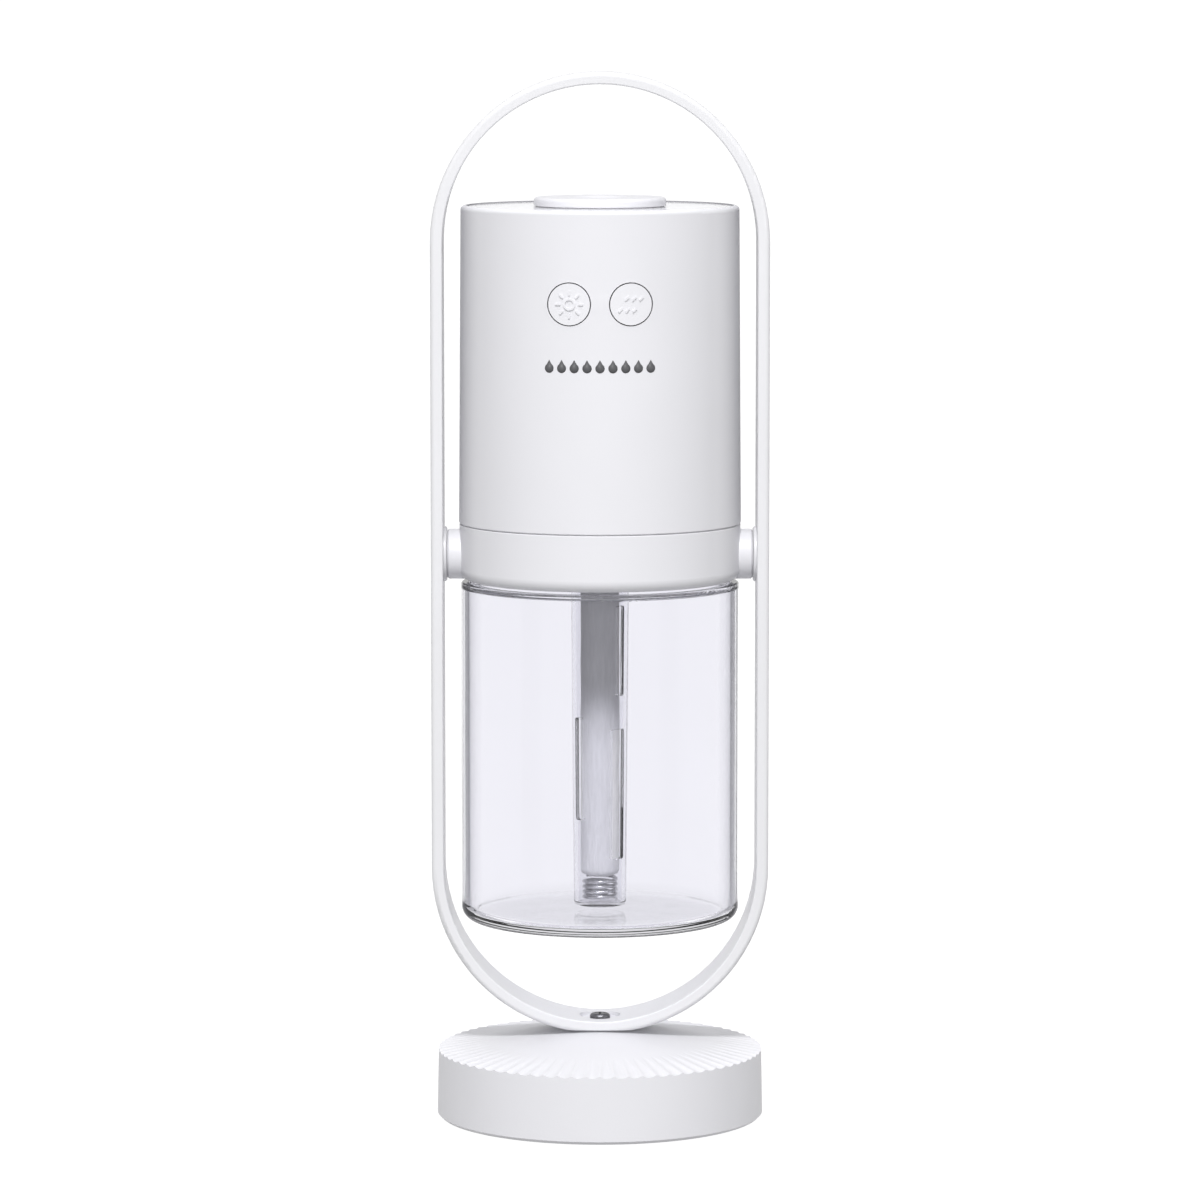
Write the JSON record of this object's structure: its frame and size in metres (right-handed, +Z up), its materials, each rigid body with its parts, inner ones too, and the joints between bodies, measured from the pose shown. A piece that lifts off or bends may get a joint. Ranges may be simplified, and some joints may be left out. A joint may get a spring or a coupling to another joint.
{
  "type": "cool mist humidifier",
  "caption": "Desktop cool mist humidifier: a white head and clear tank that tip inside an upright oval hoop on a round base with a finely fluted rim.",
  "frame": {"origin": "under the middle of the base, on the surface it stands on", "axes": "+Z up; X across the hoop, along the tilt axis; -Y is the front, with the buttons"},
  "size_m": [0.0772, 0.0752, 0.2409],
  "materials": {
    "white_shell": "fine satin moulded plastic, cool white",
    "white_hoop": "satin moulded plastic, cool white",
    "white_key": "satin moulded plastic, cool white",
    "gloss_white": "polished moulded plastic",
    "clear": "clear moulded plastic",
    "steel": "zinc-plated steel",
    "dark_steel": "dark plated steel",
    "dark_rubber": "soft matt rubber",
    "soft_seal": "translucent silicone rubber",
    "cotton": "pressed cotton fibre",
    "board_green": "solder-masked circuit board",
    "black_plastic": "moulded black plastic",
    "warm_light": "surface-mount light emitter",
    "wire_red": "insulated copper wire"
  },
  "bodies": {
    "base": {"base_shell": "white_shell", "base_bottom_plate": "white_shell", "base_weight": "steel", "base_foot_pad": "dark_rubber", "base_screws": "steel", "hoop_screw": "dark_steel", "hoop_washer": "steel", "hoop_nut": "steel"},
    "hoop": {"hoop": "white_hoop", "pivot_bushes": "white_shell", "pivot_caps": "white_hoop"},
    "cup": {"collar": "white_shell", "pivot_screws": "steel", "head_shell": "white_shell", "head_screws": "steel", "top_plate": "gloss_white", "mist_cap": "white_shell", "atomiser_seal": "soft_seal", "atomiser_disc": "steel", "wick_tube": "clear", "cotton_wick": "cotton", "wick_spring": "steel", "wick_holder": "white_shell", "button_carrier": "white_shell", "circuit_board": "board_green", "board_screws": "steel", "tact_switches": "black_plastic", "board_components": "black_plastic", "light_board": "board_green", "light_emitters": "warm_light", "light_lenses": "clear", "inlet_board": "board_green", "power_inlet": "steel", "wires": "wire_red"},
    "seal": {"tank_seal": "soft_seal"},
    "tank": {"water_tank": "clear"},
    "light_key": {"light_button": "white_key"},
    "mist_key": {"mist_button": "white_key"}
  },
  "joints": [
    {"name": "hoop_swivel", "type": "hinge", "parent": "base", "child": "hoop", "pos_m": [0, 0, 0.0213], "axis": [0, 0, 1], "continuous": true},
    {"name": "cup_tilt", "type": "hinge", "parent": "hoop", "child": "cup", "pos_m": [0, 0, 0.1307], "axis": [1, 0, 0], "continuous": true},
    {"name": "light_button_press", "type": "slide", "parent": "cup", "child": "light_key", "axis": [0, 1, 0], "range_m": [0, 0.0005], "stiffness_N_per_m": 800, "springref_m": -0.001},
    {"name": "mist_button_press", "type": "slide", "parent": "cup", "child": "mist_key", "axis": [0, 1, 0], "range_m": [0, 0.0005], "stiffness_N_per_m": 800, "springref_m": -0.001},
    {"name": "tank_drop", "type": "slide", "parent": "cup", "child": "seal", "axis": [0, 0, -1], "range_m": [0, 0.0053]},
    {"name": "tank_turn", "type": "hinge", "parent": "seal", "child": "tank", "pos_m": [0, 0, 0], "axis": [0, 0, -1], "range_deg": [0, 156]}
  ],
  "couplings": [
    {"joint": "tank_drop", "follows": "tank_turn", "m_per_rad": 0.0019099}
  ]
}
